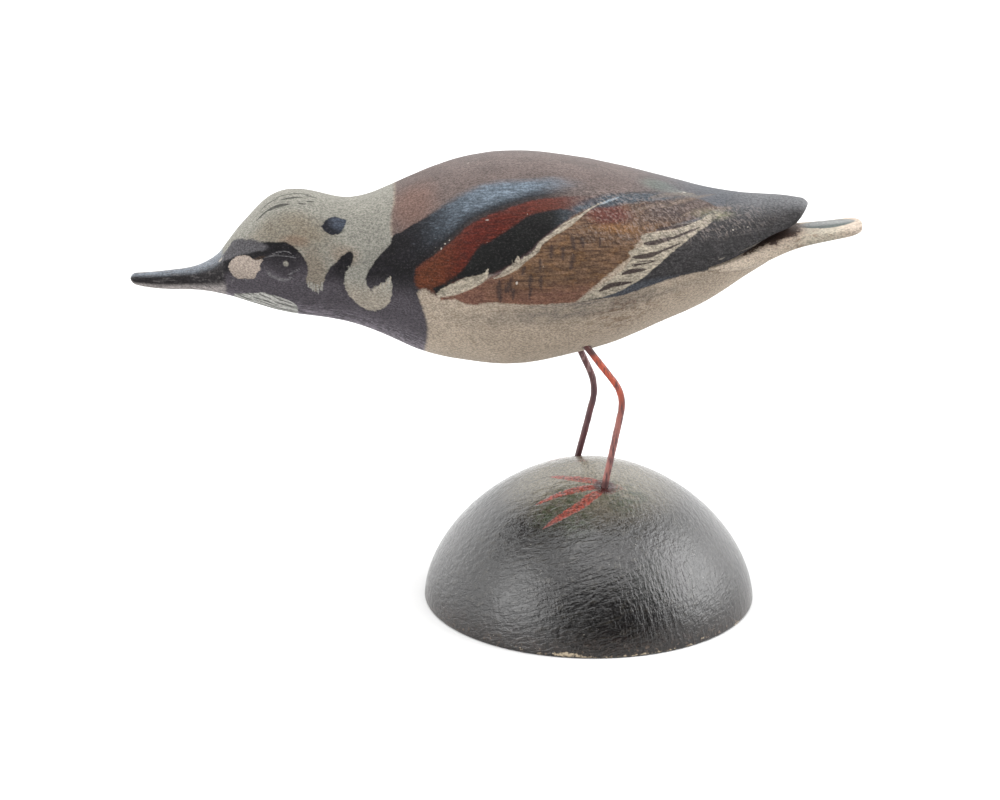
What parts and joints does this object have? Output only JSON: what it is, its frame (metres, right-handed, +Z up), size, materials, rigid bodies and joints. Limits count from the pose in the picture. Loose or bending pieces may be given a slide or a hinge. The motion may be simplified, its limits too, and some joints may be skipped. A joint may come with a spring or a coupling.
{
  "type": "miniature shorebird decoy on domed stand",
  "caption": "Small carved and painted wooden shorebird, bill held level and tail straight out, on bent wire legs set in a domed wooden stand.",
  "frame": {"origin": "centre of the domed stand's flat underside, on the surface it stands on", "axes": "+Z up; the bill points to -X and the tail to +X; the bird's left side faces -Y"},
  "size_m": [0.122, 0.057, 0.0782],
  "materials": {
    "painted_bird": "hand-painted carved wood in cream, black, rust, brown and slate, satin varnish, worn at the edges",
    "painted_wire": "iron wire under thin red-brown paint, worn to dark metal",
    "painted_stand": "near-black green-brown paint with crossed brush marks under satin varnish, small pale chips at the foot"
  },
  "bodies": {
    "root": {"bird": "painted_bird", "leg_left": "painted_wire", "leg_right": "painted_wire", "base": "painted_stand"}
  },
  "joints": []
}
